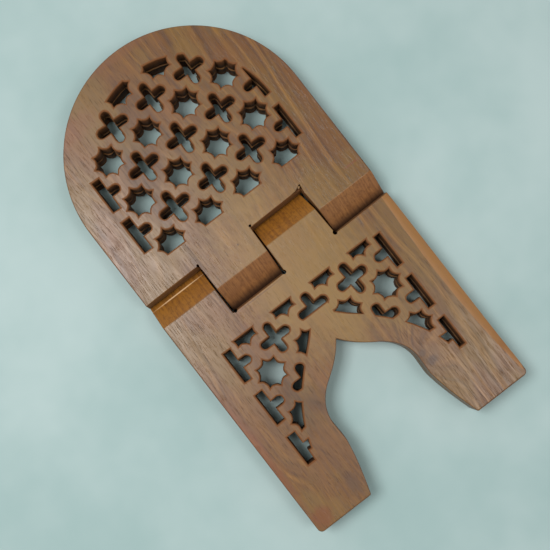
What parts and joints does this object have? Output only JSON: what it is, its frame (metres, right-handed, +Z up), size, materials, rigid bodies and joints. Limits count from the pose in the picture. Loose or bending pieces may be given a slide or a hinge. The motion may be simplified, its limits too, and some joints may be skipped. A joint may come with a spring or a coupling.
{
  "type": "folding book stand",
  "caption": "Folding wooden book stand (rehal) sawn from one plank, with an arched fretwork rest, forked legs and an interlocked finger hinge, lying folded flat.",
  "frame": {"origin": "middle of the folded stand's underside, at the bottom centre of its box", "axes": "+X along the hinge, +Y along the plank towards the arched end, +Z up out of the front face"},
  "size_m": [0.18, 0.35, 0.024],
  "materials": {
    "front_leaf_wood": "hand-sanded hardwood with a thin oil finish, darker on sawn walls",
    "back_leaf_wood": "hand-sanded hardwood with a thin oil finish, darker on sawn walls"
  },
  "bodies": {
    "back_leaf": {"back_leaf": "back_leaf_wood"},
    "front_leaf": {"front_leaf": "front_leaf_wood"}
  },
  "joints": [
    {"name": "leaf_fold", "type": "hinge", "parent": "back_leaf", "child": "front_leaf", "pos_m": [0, 0.0015, 0.012], "axis": [1, 0, 0], "range_deg": [0, 114]}
  ]
}
